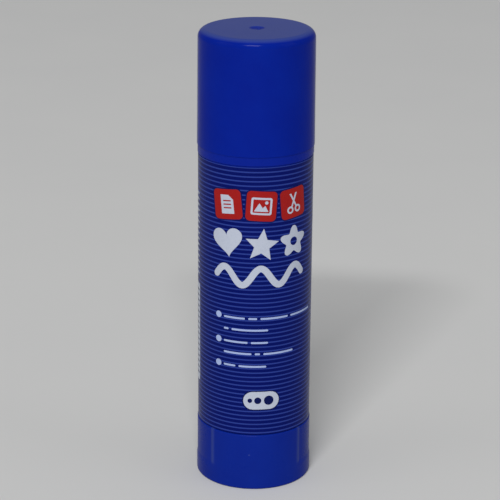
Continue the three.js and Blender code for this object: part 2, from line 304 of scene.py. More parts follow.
# %% [markdown]
# ## Moulded polypropylene, satin blue
#
# The cap, barrel and knob are injection-moulded polypropylene, coloured right through. Polypropylene has an
# IOR near 1.49 and never takes a mirror polish: the mould's fine blasted finish scatters the light, so its
# highlights are broad. Handling rubs it a little glossier in patches, and a few pale specks of dust cling
# to it, because the plastic holds a static charge.
#
# The specks could be small meshes, but a Voronoi pattern is lighter. It has one point in each cell, and what
# lies close to a point is painted pale, in one cell of five.

# %% Helper that scatters dust
dust_cell = 5.5
dusty_cells = 0.2
speck_radius = 0.143


def with_dust(node, place, base):
    """Paints the specks over a colour."""
    cells = node("TexVoronoi", {"Scale": per_mm(dust_cell)}, {"Vector": place})
    chance = node("SeparateColor", {}, {0: cells.outputs["Color"]})
    chosen = node("Math", {"operation": "GREATER_THAN", 1: 1 - dusty_cells}, {0: chance})
    near = node("Math", {"operation": "LESS_THAN", 1: speck_radius / dust_cell},
                {0: cells.outputs["Distance"]})
    speck = node("Math", {"operation": "MULTIPLY"}, {0: chosen, 1: near})
    return node("Mix", {"data_type": "RGBA", 7: colour("#6a77a8")}, {0: speck, 6: base})


# %% [markdown]
# Two places get a pale grey-blue painted in. On the cap's flat crown it is painted reflection of the pale
# room, weaker over the dish in its middle. Along the upright ends of the knob's grips it is a painted
# highlight. It could be painted on by hand. Here height, distance from the axis and bearing say where it
# lies, so it follows the sizes.

# %% Helpers that say where reflection and highlight are painted
# How strong the painted reflection on the crown is, and where it lies
crown_reflection_strength = 0.45
crown_reflection_depths = 0.8, 0.2
dish_reflection_share = 0.3
dish_reflection_radii = 1.7, 2.1
# How strong the painted highlight along the grips' upright ends is, and where it lies
grip_highlight_strength = 0.24
grip_highlight_bearing = recess_half_angle - 0.6
grip_highlight_reach = 1.0, 3.4
grip_highlight_heights = 5.0, 5.6


def painted_crown_reflection(node, place):
    """The share of painted reflection on the cap, from its height and the distance from its axis."""
    parts = node("SeparateXYZ", {}, {0: place})
    level = node("CombineXYZ", {}, {"X": parts.outputs["X"], "Y": parts.outputs["Y"]})
    radius = node("VectorMath", {"operation": "LENGTH"}, {0: level})
    start, full = (limit * mm for limit in dish_reflection_radii)
    past_dish = node("MapRange", {"From Min": start, "From Max": full, "To Min": dish_reflection_share},
                     {"Value": radius.outputs["Value"]})
    start, full = ((cap_top - depth) * mm for depth in crown_reflection_depths)
    top = node("MapRange", {"From Min": start, "From Max": full, "To Max": crown_reflection_strength},
               {"Value": parts.outputs["Z"]})
    return node("Math", {"operation": "MULTIPLY"}, {0: top, 1: past_dish})


def painted_grip_highlight(node, place):
    """The share of painted highlight on the knob. Folded every quarter turn, the bearings of all four ends
    are one.
    """
    parts = node("SeparateXYZ", {}, {0: place})
    aside = node("Math", {"operation": "ARCTAN2"}, {0: parts.outputs["Y"], 1: parts.outputs["X"]})
    for operation, value in (("SUBTRACT", math.radians(knob_turned)), ("PINGPONG", math.pi / 2),
                             ("SUBTRACT", math.radians(grip_highlight_bearing)), ("ABSOLUTE", 0.0)):
        aside = node("Math", {"operation": operation, 1: value}, {0: aside})
    full, none = (math.radians(reach) for reach in grip_highlight_reach)
    end = node("MapRange", {"From Min": full, "From Max": none, "To Min": grip_highlight_strength, "To Max": 0.0},
               {"Value": aside})
    start, full = (height * mm for height in grip_highlight_heights)
    above = node("MapRange", {"From Min": start, "From Max": full}, {"Value": parts.outputs["Z"]})
    return node("Math", {"operation": "MULTIPLY"}, {0: end, 1: above})


# %% Make the blue plastic


def moulded_polypropylene(name, code, pale_code, roughness, reflection, scratches, painted_light=None):
    """Plastic of an uneven colour, with dust, glossy patches, a fine grain and faint upright lines, and
    painted light where given.
    """
    material, node, place = new_material(name)
    pigment = node("TexNoise", {"Scale": per_mm(9), "Detail": 3.0, "Roughness": 0.6}, {"Vector": place})
    tone = node("MapRange", {"From Min": 0.3, "From Max": 0.7}, {"Value": pigment})
    body = node("Mix", {"data_type": "RGBA", 6: colour(code), 7: colour(pale_code)}, {0: tone})
    skin = with_dust(node, place, body.outputs[2])
    # Where given, a pale grey-blue is painted in: painted reflection on the cap's crown, painted highlight on
    # the knob's grips
    if painted_light:
        skin = node("Mix", {"data_type": "RGBA", 7: colour("#4a5a8c")},
                    {0: painted_light(node, place), 6: skin.outputs[2]})
    # Rubbed patches are glossier, and the blasted finish is a fine grain
    patches = node("TexNoise", {"Scale": per_mm(6), "Detail": 4.0, "Roughness": 0.55}, {"Vector": place})
    gloss = node("MapRange", {**noise_span, "To Min": roughness - 0.04, "To Max": roughness + 0.05},
                 {"Value": patches})
    grain = node("TexNoise", {"Scale": per_mm(0.25), "Detail": 2.0}, {"Vector": place})
    # Ejection from the mould and the cap's sliding leave faint lines along the axis, so they are stretched
    drawn = node("Mapping", {"Scale": (1.0, 1.0, 0.03)}, {"Vector": place})
    lines = node("TexNoise", {"Scale": per_mm(0.5), "Detail": 2.0}, {"Vector": drawn})
    fine = node("Bump", {"Strength": 0.12, "Distance": 0.02 * mm}, {"Height": grain})
    relief = node("Bump", {"Strength": scratches, "Distance": 0.02 * mm}, {"Height": lines, "Normal": fine})
    shader = node("BsdfPrincipled", {"IOR": 1.49, "Specular IOR Level": reflection},
                  {"Base Color": skin.outputs[2], "Roughness": gloss, "Normal": relief})
    node("OutputMaterial", {}, {"Surface": shader})
    return material


blue_cap = moulded_polypropylene("cap_polypropylene", "#061c82", "#061f87", 0.16, 0.028, 0.10, painted_crown_reflection)
blue_band = moulded_polypropylene("barrel_polypropylene", "#061c82", "#061f87", 0.28, 0.055, 0.06)
blue_base = moulded_polypropylene("base_polypropylene", "#0a217e", "#0b2483", 0.28, 0.045, 0.06, painted_grip_highlight)
print("blue plastics:", blue_cap.name, blue_band.name, blue_base.name)

# %% [markdown]
# ## Printed wrap film
#
# The label is a polypropylene film, printed dark blue with fine lighter stripes and wrapped round the
# barrel. Film is smoother than a moulding, so it shows a clearer sheen towards the sides. The stripes run
# level round the stick, so they only need the height: a sawtooth of the height, folded into a line with
# soft edges.

# %% Make the striped film
stripe_pitch = 1.165
stripe_width = 0.34
stripe_edge = 0.07


def printed_film(name):
    material, node, place = new_material(name)
    height = node("SeparateXYZ", {}, {0: place}).outputs["Z"]
    from_top = node("Math", {"operation": "SUBTRACT", 0: label_top * mm}, {1: height})
    turns = node("Math", {"operation": "DIVIDE", 1: stripe_pitch * mm}, {0: from_top})
    fold = node("Math", {"operation": "PINGPONG", 1: 0.5}, {0: turns})
    half = stripe_width / 2 / stripe_pitch
    soft = stripe_edge / 2 / stripe_pitch
    line = node("MapRange",
                {"interpolation_type": "SMOOTHSTEP", "From Min": half - soft, "From Max": half + soft,
                 "To Min": 1.0, "To Max": 0.0}, {"Value": fold})
    ink = node("TexNoise", {"Scale": per_mm(1.4), "Detail": 3.0}, {"Vector": place})
    ground = node("Mix", {"data_type": "RGBA", 6: colour("#000b54"), 7: colour("#010f5e")}, {0: ink})
    printed = node("Mix", {"data_type": "RGBA", 7: colour("#283a87")}, {0: line, 6: ground.outputs[2]})
    # The film was stretched unevenly as it was wrapped, so its gloss drifts in soft patches
    drift = node("TexNoise", {"Scale": per_mm(5), "Detail": 3.0}, {"Vector": place})
    gloss = node("MapRange", {**noise_span, "To Min": 0.24, "To Max": 0.32}, {"Value": drift})
    relief = node("Bump", {"Strength": 0.08, "Distance": 0.05 * mm}, {"Height": drift})
    shader = node("BsdfPrincipled", {"IOR": 1.5, "Specular IOR Level": 0.06},
                  {"Base Color": printed.outputs[2], "Roughness": gloss, "Normal": relief})
    node("OutputMaterial", {}, {"Surface": shader})
    return material


film = printed_film("printed_film")
print("stripes on the film:", int((label_top - label_foot) / stripe_pitch) + 1)

# %% [markdown]
# ## Screen-printed ink
#
# The white, pale, red and dark shapes are opaque ink on the film, about as glossy as it. Their colour is a
# little uneven, because ink lies thicker in some places.

# %% Make the inks


def printed_ink(name, code, thin_code):
    material, node, place = new_material(name)
    cover = node("TexNoise", {"Scale": per_mm(0.9), "Detail": 3.0}, {"Vector": place})
    tone = node("Mix", {"data_type": "RGBA", 6: colour(code), 7: colour(thin_code)}, {0: cover})
    gloss = node("MapRange", {"To Min": 0.24, "To Max": 0.34}, {"Value": cover})
    shader = node("BsdfPrincipled", {"IOR": 1.5, "Specular IOR Level": 0.08},
                  {"Base Color": tone.outputs[2], "Roughness": gloss})
    node("OutputMaterial", {}, {"Surface": shader})
    return material


white_ink = printed_ink("white_ink", "#b4bac8", "#a9b0c0")
pale_ink = printed_ink("pale_blue_ink", "#9fafd5", "#94a3cb")
red_ink = printed_ink("red_ink", "#9b1c1a", "#8f1716")
blue_ink = printed_ink("dark_blue_ink", "#040e45", "#06124c")
print("inks:", white_ink.name, pale_ink.name, red_ink.name, blue_ink.name)

# %% [markdown]
# ## Uncoloured polypropylene and glue
#
# The carrier and the spindle are never seen in use, so they are moulded without pigment: milky, with light
# passing a little way in. The glue is a firm soap gel, white and waxy, and light passes deeper into it.

# %% Make the natural plastic and the glue


def milky(name, code, deep_code, roughness, depth, weight, patch):
    """A pale material that lets light pass this many millimetres in, with patches of that size."""
    material, node, place = new_material(name)
    cloud = node("TexNoise", {"Scale": per_mm(patch), "Detail": 4.0}, {"Vector": place})
    tone = node("Mix", {"data_type": "RGBA", 6: colour(code), 7: colour(deep_code)}, {0: cloud})
    gloss = node("MapRange", {"To Min": roughness - 0.06, "To Max": roughness + 0.08}, {"Value": cloud})
    grain = node("TexNoise", {"Scale": per_mm(0.4), "Detail": 3.0}, {"Vector": place})
    relief = node("Bump", {"Strength": 0.15, "Distance": 0.03 * mm}, {"Height": grain})
    shader = node("BsdfPrincipled", {"IOR": 1.49, "Subsurface Weight": weight,
                                     "Subsurface Scale": depth * mm, "Subsurface Radius": (1.0, 0.95, 0.85)},
                  {"Base Color": tone.outputs[2], "Roughness": gloss, "Normal": relief})
    node("OutputMaterial", {}, {"Surface": shader})
    return material


natural_plastic = milky("natural_polypropylene", "#e9e9e2", "#dddfd9", 0.38, 0.8, 0.35, 4)
glue_gel = milky("glue_gel", "#efece1", "#e8e4d7", 0.5, 2.0, 0.5, 3)
print("milky materials:", natural_plastic.name, glue_gel.name)

# %% [markdown]
# ## The cap
#
# A cap of this kind is one thin cup, a little narrower at the crown so that it leaves its mould. Its crown
# has a shallow dish in the middle: the plastic entered there, and the nub that was left when the sprue broke
# off lies below the surface, where it can't scratch. Inside, low ribs stiffen the bore above the neck.

# %% Turn the cap and add its ribs
cap_wall = 1.16
cap_draft = 0.18
crown_wall = 1.3
crown_fillet = 2.1
crown_inner_fillet = 1.2
cap_rim_rounding = 0.05
seat_gap = 0.01
gate_radius = 1.95
gate_depth = 0.35
gate_side = 0.75
gate_side_foot = 0.02
gate_lip = 0.2
gate_lip_drop = 0.12
nub_radius = 0.45
nub_height = 0.25
nub_rounding = 0.2
nub_offset = 0.5
nub_margin = 0.1
cap_rib_count = 8
cap_rib_width = 0.8
cap_rib_height = 0.6
neck_bead = 0.2
neck_bead_rise = 6.3
neck_bead_height = 1.2
shoulder = cap_foot - running_gap
bead_foot = shoulder + neck_bead_rise
cap_bore = cap_radius - cap_wall


def make_cap():
    crown_radius = cap_radius - cap_draft
    bore_top = cap_bore - cap_draft
    crown_under = cap_top - crown_wall
    gate_floor = cap_top - gate_depth
    groove = cap_bore + neck_bead / 2
    bm = turned([
        (0, gate_floor + nub_height),
        *arc((nub_radius - nub_rounding, gate_floor + nub_height - nub_rounding), nub_rounding, 90, 0, 4),
        (nub_radius, gate_floor),
        (gate_radius - gate_side, gate_floor + gate_side_foot),
        (gate_radius - gate_lip, cap_top - gate_lip_drop),
        (gate_radius, cap_top),
        *arc((crown_radius - crown_fillet, cap_top - crown_fillet), crown_fillet, 90, 0, 12),
        *arc((cap_radius - cap_rim_rounding, cap_foot + cap_rim_rounding), cap_rim_rounding, 0, -90),
        (cap_bore + cap_rim_rounding / 2, cap_foot),
        (cap_bore, cap_foot + cap_rim_rounding / 2),
        (cap_bore, bead_foot),
        (groove, bead_foot + neck_bead_height / 3),
        (groove, bead_foot + 2 * neck_bead_height / 3),
        (cap_bore, bead_foot + neck_bead_height),
        *arc((bore_top - crown_inner_fillet, crown_under - crown_inner_fillet), crown_inner_fillet, 0, 90),
        (0, crown_under),
    ])
    # The nub isn't quite in the middle of its dish
    nub = [vert for vert in bm.verts
           if radius_of(vert) < (nub_radius + nub_margin) * mm and vert.co.z > (gate_floor - nub_margin) * mm]
    bmesh.ops.translate(bm, verts=nub, vec=(nub_offset * mm, 0, 0))
    low = (bore_top - cap_rib_height, -cap_rib_width / 2, mouth + running_gap)
    high = (bore_top + sink, cap_rib_width / 2, crown_under + sink)
    return combine(bm, blocks_around(low, high, cap_rib_count, shift=0.5), "UNION")


finish_piece(make_cap(), "cap_moulding", "cap", blue_cap, ["cap"])

# %% [markdown]
# ## The barrel
#
# The barrel is a tube with a floor near its foot, a journal below it that the knob snaps onto, and a neck
# above a narrow plain band. Two keyways in the bore keep the carrier from turning.

# %% Turn the barrel and cut its keyways
barrel_wall = 2.25
band_proud = 0.25
band_height = 1.82
band_rounding = 0.03
neck_wall = 1.1
journal_step = 1.35
journal_wall = 1.7
journal_chamfer = 0.4
mouth_rounding = 0.35
bearing_floor = 1.6
bearing_depth = 1.7
snap_height = 0.6
snap_hold = 0.2
snap_rise = 2.2
key_radius = 4.3
key_shoulder = 0.6
keyway_width = 2.2
keyway_depth = 0.85
keyway_start = 0.1
keyway_end = 2.8
barrel_radius = band_radius - band_proud
bore_radius = barrel_radius - barrel_wall
journal_outer = barrel_radius - journal_step
knob_joint = knob_top + running_gap
bearing_under = knob_joint - bearing_depth
bearing_top = bearing_under + bearing_floor
snap_middle = journal_foot + snap_rise
bearing_bore = key_radius + key_shoulder + running_gap
tube_foot = rim_height + rim_gap


def make_barrel():
    neck_radius = bore_radius + neck_wall
    journal_inner = journal_outer - journal_wall
    groove_radius = journal_outer - snap_hold - running_gap
    groove_half = snap_height / 2 + running_gap
    band_foot = shoulder - band_height
    seat = cap_foot - seat_gap
    bm = turned([
        (journal_inner, journal_foot),
        (journal_outer - journal_chamfer, journal_foot),
        (journal_outer, journal_foot + journal_chamfer),
        (journal_outer, snap_middle - groove_half),
        (groove_radius, snap_middle - groove_half),
        (groove_radius, snap_middle + groove_half),
        (journal_outer, snap_middle + groove_half + snap_height / 2),
        (journal_outer, tube_foot),
        (barrel_radius, tube_foot),
        (barrel_radius, band_foot - band_proud),
        (band_radius, band_foot),
        *arc((band_radius - band_rounding, seat - band_rounding), band_rounding, 0, 90),
        (neck_radius, seat),
        (neck_radius, bead_foot),
        (neck_radius + neck_bead, bead_foot + neck_bead_height / 3),
        (neck_radius + neck_bead, bead_foot + 2 * neck_bead_height / 3),
        (neck_radius, bead_foot + neck_bead_height),
        *arc((neck_radius - mouth_rounding, mouth - mouth_rounding), mouth_rounding, 0, 90),
        *arc((bore_radius + mouth_rounding, mouth - mouth_rounding), mouth_rounding, 90, 180),
        (bore_radius, bearing_top),
        (bearing_bore, bearing_top),
        (bearing_bore, bearing_under),
        (journal_inner, bearing_under),
    ], closed=True, rounding=0.06)
    low = (bore_radius - overcut, -keyway_width / 2, bearing_top + keyway_start)
    high = (bore_radius + keyway_depth, keyway_width / 2, shoulder - keyway_end)
    return combine(bm, blocks_around(low, high, 2), "DIFFERENCE")


finish_piece(make_barrel(), "barrel_moulding", "barrel", blue_band, ["barrel"])

# %% [markdown]
# ## The wrap film
#
# The film is an eighth of a millimetre thick. Its section is a small rectangle, turned almost once round the
# barrel, so that the two cut edges face each other at the back with a narrow gap.

# %% Turn the film
film_thickness = 0.12
seam_gap = 0.4


def make_film():
    inner = label_radius - film_thickness
    bm = wire([(inner, label_foot), (label_radius, label_foot),
               (label_radius, label_top), (inner, label_top)], closed=True)
    bm.faces.new(bm.verts)
    half_gap = seam_gap / 2 / label_radius
    rotate_about_axis(bm, math.pi / 2 + half_gap)
    sweep(bm, full_turn - 2 * half_gap, turn_steps)
    bmesh.ops.recalc_face_normals(bm, faces=bm.faces)
    return bm


finish_piece(make_film(), "wrap_film", "barrel", film, ["label"])

# %% [markdown]
# ## The print
#
# The print is plain craft shapes: three red tags with small signs, cut-out shapes, a wavy trail of glue, and
# dots with bars. Each shape is drawn flat, in millimetres along and up the film, filled, cut into narrow
# upright strips so that it can bend, given the thickness of a layer of ink, and wrapped round the film.
# Drawing it as ink keeps its edges crisp from near by, which a painted texture can't do. Heights are those on
# the stick, and places to the side are counted from the middle of the print.

# %% Helpers for flat shapes
print_centre = math.radians(5.93)
strip = 0.5
ink_bite = 0.008
ink_layer = 0.012
dark_edge = 0.3
inks = {name: bmesh.new() for name in ("white", "pale", "red", "blue")}


def placed(outline, centre, degrees=0):
    """The outline turned and moved to its centre."""
    turn = Matrix.Rotation(math.radians(degrees), 2)
    return [tuple(Vector(centre) + turn @ Vector(point)) for point in outline]


def polar(radius_at, count):
    """An outline whose radius follows a formula of the angle."""
    outline = []
    for i in range(count):
        angle = full_turn * i / count
        outline.append((radius_at(angle) * math.cos(angle), radius_at(angle) * math.sin(angle)))
    return outline


def tag(width, height, rounding):
    """A rectangle with round corners."""
    x, y = width / 2 - rounding, height / 2 - rounding
    outline = []
    for sign_x, sign_y, start in ((1, 1, 0), (-1, 1, 90), (-1, -1, 180), (1, -1, 270)):
        outline += arc((sign_x * x, sign_y * y), rounding, start, start + 90, 5)
    return outline


def ribbon(line, width):
    """A band of even width along a line of points, with round ends."""
    sides = [], []
    for i, point in enumerate(line):
        before, after = Vector(line[max(i - 1, 0)]), Vector(line[min(i + 1, len(line) - 1)])
        across = (after - before).normalized().orthogonal() * width / 2
        sides[0].append(tuple(Vector(point) + across))
        sides[1].append(tuple(Vector(point) - across))

    def end(point, from_side):
        start = math.degrees(math.atan2(from_side[1] - point[1], from_side[0] - point[0]))
        return arc(point, width / 2, start, start - 180, 8)[1:-1]

    return sides[0] + end(line[-1], sides[0][-1]) + sides[1][::-1] + end(line[0], sides[1][0])


def stamp(ink, outline, layer=1, hole=None):
    """Lays one filled outline on the film. A higher layer lies over a lower one."""
    bm = bmesh.new()
    for loop in [outline] + ([hole] if hole else []):
        points = [bm.verts.new((x * mm, 0, y * mm)) for x, y in loop]
        for first, second in zip(points, points[1:] + points[:1]):
            bm.edges.new((first, second))
    bmesh.ops.triangle_fill(bm, edges=bm.edges[:], use_beauty=True, normal=(0, -1, 0))
    across = [vert.co.x / mm for vert in bm.verts]
    for i in range(math.ceil(min(across) / strip), math.floor(max(across) / strip) + 1):
        bmesh.ops.bisect_plane(bm, geom=everything(bm), dist=weld, plane_co=(i * strip * mm, 0, 0),
                               plane_no=(1, 0, 0))
    bmesh.ops.recalc_face_normals(bm, faces=bm.faces)
    lift = bmesh.ops.extrude_face_region(bm, geom=bm.faces[:], use_keep_orig=True)
    top = [item for item in lift["geom"] if isinstance(item, bmesh.types.BMVert)]
    for vert in bm.verts:
        vert.co.y = (label_radius - ink_bite) * mm
    for vert in top:
        vert.co.y = (label_radius + layer * ink_layer) * mm
    for vert in bm.verts:
        angle = print_centre + vert.co.x / (label_radius * mm)
        vert.co = (vert.co.y * math.sin(angle), -vert.co.y * math.cos(angle), vert.co.z)
    bmesh.ops.recalc_face_normals(bm, faces=bm.faces)
    flat = bpy.data.meshes.new("stamp")
    bm.to_mesh(flat)
    bm.free()
    inks[ink].from_mesh(flat)
    bpy.data.meshes.remove(flat)


# %% [markdown]
# A disc has an even radius, a flower's swings with the angle, and a star's corners lie on two radii in turn.
# The tags and the oval get a thin dark edge, which printers leave where a pale ink lies over a darker one.

# %% Shapes of the print


def disc(radius):
    return polar(lambda angle: radius, 40)


def flower(radius, petals=5):
    return polar(lambda angle: radius * (0.8 + 0.2 * math.cos(petals * (angle - math.pi / 2))), 90)


def star(radius, points=5, inner=0.45):
    corners = []
    for i in range(2 * points):
        angle = math.pi / 2 + math.pi * i / points
        reach = radius if i % 2 == 0 else inner * radius
        corners.append((reach * math.cos(angle), reach * math.sin(angle)))
    return corners


def heart(radius, count=64):
    outline = []
    for i in range(count):
        t = full_turn * i / count
        x = 16 * math.sin(t) ** 3
        y = 13 * math.cos(t) - 5 * math.cos(2 * t) - 2 * math.cos(3 * t) - math.cos(4 * t) + 2.5
        outline.append((radius * x / 16, radius * y / 16))
    return outline


def wave(length, swing, waves, count=96):
    line = []
    for i in range(count + 1):
        share = i / count
        line.append((length * (share - 0.5), swing * math.sin(full_turn * waves * share)))
    return line


def edged_tag(ink, width, height, rounding, centre, degrees=0):
    """A tag on a dark one that is a little larger."""
    grown = tag(width + 2 * dark_edge, height + 2 * dark_edge, rounding + dark_edge)
    stamp("blue", placed(grown, centre, degrees), 0.5)
    stamp(ink, placed(tag(width, height, rounding), centre, degrees))


# %% [markdown]
# The red row: three tags, each a little turned, with a sheet of paper, a picture in its frame, and scissors.

# %% Print the red tags
tag_row = 75.8
tag_size = 7.6
tag_rounding = 1.1
tag_step = 8.7


def sheet_sign(centre, turn):
    paper = [(-1.7, -2.4), (1.7, -2.4), (1.7, 1.2), (0.5, 2.4), (-1.7, 2.4)]
    stamp("white", placed(paper, centre, turn), 2)
    for height in (0.9, 0, -0.9):
        stamp("red", placed(tag(2.2, 0.32, 0.15), placed([(0, height)], centre, turn)[0], turn), 3)


def picture_sign(centre, turn):
    stamp("white", placed(tag(5.2, 4.4, 0.5), centre, turn), 2, hole=placed(tag(4.2, 3.4, 0.2), centre, turn))
    hills = [(-1.8, -1.35), (1.8, -1.35), (0.9, 0.2), (0.3, -0.45), (-0.6, 0.8)]
    stamp("white", placed(hills, centre, turn), 2)
    stamp("white", placed(disc(0.42), placed([(1.2, 0.95)], centre, turn)[0]), 2)


def scissors_sign(centre, turn):
    for side in (-1, 1):
        ring = placed([(side * 1.15, -1.65)], centre, turn)[0]
        stamp("white", placed(disc(0.95), ring), 2, hole=placed(disc(0.5), ring))
        blade = [(side * 0.95, -1.0), (side * 0.55, -1.15), (-side * 1.15, 2.5), (-side * 0.65, 2.55)]
        stamp("white", placed(blade, centre, turn), 3 if side > 0 else 4)


signs = {sheet_sign: 6, picture_sign: -4, scissors_sign: 5}
for number, (sign, turn) in enumerate(signs.items()):
    centre = ((number - 1) * tag_step, tag_row)
    edged_tag("red", tag_size, tag_size, tag_rounding, centre, turn)
    sign(centre, turn)
print("red tags:", len(signs))

# %% [markdown]
# The white rows: large cut-out shapes, and under them a trail of glue.

# %% Print the white shapes
cutout_row = 65.9
trail_row = 57.5
flower_middle = (8.9, cutout_row)
stamp("white", placed(heart(4.1), (-8.6, cutout_row), 8))
stamp("white", placed(star(4.4), (0.2, cutout_row - 0.2), -6))
stamp("white", placed(flower(4.1), flower_middle), hole=placed(disc(1.1), flower_middle))
stamp("white", placed(ribbon(wave(23.4, 2.2, 2.5), 1.7), (0, trail_row)))
print("faces in white ink so far:", len(inks["white"].faces))

# %% [markdown]
# The small print is plain rows of bars with a dot before each group, an oval with three dots that grow, and
# a column of fine bars that runs round to the side.

# %% Print the dots, the bars and the oval
dot_left = -11.1
dot_radius = 0.85
dot_rows = (46.7, 40.2, 33.8)
bar_left = -9.5
bar_height = 0.5
bar_rounding = 0.22
bar_gap = 0.85
bar_rows = {46.5: (5.6, 2.2, 7.3, 7.9), 43.4: (1.3, 9.3), 40.1: (6.3, 4.3), 37.1: (7.3, 1.3, 8.2),
            33.7: (3.2, 7.0)}
for height, widths in bar_rows.items():
    left = bar_left
    for width in widths:
        stamp("pale", placed(tag(width, bar_height, bar_rounding), (left + width / 2, height)))
        left += width + bar_gap
for height in dot_rows:
    stamp("pale", placed(disc(dot_radius), (dot_left, height)))

oval_across, oval_row = 0.4, 24.5
edged_tag("white", 9.2, 4.8, 2.39, (oval_across, oval_row))
for offset, radius in ((-2.9, 0.6), (-0.9, 0.9), (1.9, 1.25)):
    stamp("blue", placed(disc(radius), (oval_across + offset, oval_row)), 2)
print("faces in pale ink:", len(inks["pale"].faces))

# %% Print the column at the side
side_right = -20.0
side_width = 6.4
side_margin = 0.5
side_bar = 0.5
side_bar_rounding = 0.2
side_step = 1.5
column_top = 75.7
panel_top, panel_foot = 52.0, 25.8
panel_margin = 1.8
panel_rounding = 0.5
panel_middle = (side_right - side_width / 2, (panel_top + panel_foot) / 2)
stamp("white", placed(tag(side_width, panel_top - panel_foot, panel_rounding), panel_middle))
for ink, layer, top, count in (("white", 1, column_top, 15), ("blue", 2, panel_top - panel_margin, 16)):
    for i in range(count):
        # Five lengths, in an uneven order
        width = (side_width - 2 * side_margin) * (1 - 0.3 * (i * 7 % 5) / 4)
        middle = (side_right - side_margin - width / 2, top - i * side_step)
        stamp(ink, placed(tag(width, side_bar, side_bar_rounding), middle), layer)

# %% Make a piece of each ink
for ink, material in (("white", white_ink), ("pale", pale_ink), ("red", red_ink), ("blue", blue_ink)):
    finish_piece(inks[ink], f"print_{ink}", "barrel", material)

# %% [markdown]
# ## The turning base
#
# The knob is a cup that stands on a narrow foot ring. Its two grips are shallow recesses, one on each side,
# that stop above the foot. They are pressed into the turned cup by moving its skin inwards: fully between
# the ends of a recess, and by a ramp at its ends and over its ledge.

# %% Turn the knob and press in its grips
knob_wall = 1.475
knob_floor = 1.6
foot_ring_width = 2.5
foot_hollow = 0.8
foot_rounding = 0.5
knob_rim_rounding = 0.3
recess_depth = 0.14
recess_end_slope = 3
recess_foot = 4.3
recess_ledge = 1.2
hub_wall = 1.75
socket_floor = 3.2
knob_rib_count = 6
knob_rib_width = 1.2
knob_steps = 360
skin_slack = 0.01


def press_grips(bm):
    """Moves the knob's outer skin inwards in two sectors, one on each side."""
    skin = knob_radius - knob_rim_rounding - skin_slack
    for vert in bm.verts:
        radius, height = radius_of(vert) / mm, vert.co.z / mm
        if radius < skin or height < recess_foot:
            continue
        bearing = math.degrees(math.atan2(vert.co.y, vert.co.x)) - knob_turned
        off_centre = min(abs((bearing + 180) % 360 - 180), abs(bearing % 360 - 180))
        across = (recess_half_angle - off_centre) / recess_end_slope
        up = (height - recess_foot) / recess_ledge
        share = min(max(across, 0), 1) * min(max(up, 0), 1)
        scale = (radius - recess_depth * share) / radius
        vert.co.x *= scale
        vert.co.y *= scale


def hexagon(radius, low, high):
    bm = bmesh.new()
    middle = Matrix.Translation((0, 0, (low + high) / 2 * mm))
    bmesh.ops.create_cone(bm, cap_ends=True, segments=6, radius1=radius * mm, radius2=radius * mm,
                          depth=(high - low) * mm, matrix=middle)
    rotate_about_axis(bm, math.pi / 6)
    return bm


def make_knob():
    knob_bore = knob_radius - knob_wall
    hub_radius = key_radius + running_gap + hub_wall
    hub_top = bearing_under - running_gap
    floor_top = foot_hollow + knob_floor
    bead = journal_outer - snap_hold
    bm = turned([
        (0, foot_hollow),
        (knob_radius - foot_ring_width, foot_hollow),
        (knob_radius - foot_ring_width, knob_foot),
        *arc((knob_radius - foot_rounding, foot_rounding), foot_rounding, -90, 0),
        (knob_radius, recess_foot),
        (knob_radius, recess_foot + recess_ledge),
        *arc((knob_radius - knob_rim_rounding, rim_height - knob_rim_rounding), knob_rim_rounding, 0, 90),
        (knob_bore, rim_height),
        (knob_bore, snap_middle + snap_height),
        (bead, snap_middle + snap_height / 2),
        (bead, snap_middle - snap_height / 2),
        (knob_bore, snap_middle - snap_height / 2),
        (knob_bore, floor_top),
        (hub_radius, floor_top),
        (hub_radius, hub_top),
        (0, hub_top),
    ], steps=knob_steps)
    press_grips(bm)
    low = (hub_radius - sink, -knob_rib_width / 2, floor_top - sink)
    high = (knob_bore + sink, knob_rib_width / 2, journal_foot - running_gap)
    bm = combine(bm, blocks_around(low, high, knob_rib_count), "UNION")
    socket_radius = key_radius + running_gap / math.cos(math.pi / 6)
    return combine(bm, [hexagon(socket_radius, foot_hollow + socket_floor, hub_top + overcut)], "DIFFERENCE")


finish_piece(make_knob(), "knob_moulding", "knob", blue_base, ["base_knob"])

# %% [markdown]
# ## The glue
#
# The glue is poured hot into the barrel and shrinks as it sets, so its top has a thin raised edge where it
# clung to the wall and a shallow dip in the middle. Its foot fills the carrier's cup round the nut.

# %% Turn the stick of glue
edge_rounding = 0.9
dip = 0.45
dip_steps = 16
cup_wall = 0.9
thread_crest = 4.4
nut_wall = 1.7
nut_rise = 4
fin_width = 1.1


def glue_surface(share):
    """Height of the set surface at a share of the way from the middle to the edge."""
    return glue_top - dip * (1 - share ** 2) ** 2


def make_glue():
    foot_radius = glue_radius - cup_wall - running_gap
    well_radius = thread_crest + running_gap
    nut_well = well_radius + nut_wall + running_gap
    nut_well_top = glue_foot + nut_rise
    flat = glue_radius - edge_rounding
    surface = [(flat * i / dip_steps, glue_surface(i / dip_steps)) for i in range(dip_steps)]
    bm = turned([
        *surface,
        *arc((flat, glue_top - edge_rounding), edge_rounding, 90, 0, 8),
        (glue_radius, cup_rim + running_gap),
        (foot_radius, cup_rim + running_gap),
        (foot_radius, glue_foot),
        (nut_well, glue_foot),
        (nut_well, nut_well_top),
        (well_radius, nut_well_top),
        (well_radius, spindle_top + running_gap),
        (0, spindle_top + running_gap),
    ])
    half = fin_width / 2 + running_gap
    low = (-foot_radius - overcut, -half, glue_foot - overcut)
    high = (foot_radius + overcut, half, nut_well_top)
    return combine(bm, [block(low, high, degrees) for degrees in (0, 90)], "DIFFERENCE")


finish_piece(make_glue(), "glue_stick_gel", "carrier", glue_gel, ["glue"])

# %% [markdown]
# ## The screw
#
# The spindle's thread is a coarse left-hand screw. `spin` takes a step along the axis as well as an angle,
# so one period of the thread's section, carried round and up, makes the whole helical surface, and each
# turn meets the next. Two plane cuts end it, and each cut is closed with a face.

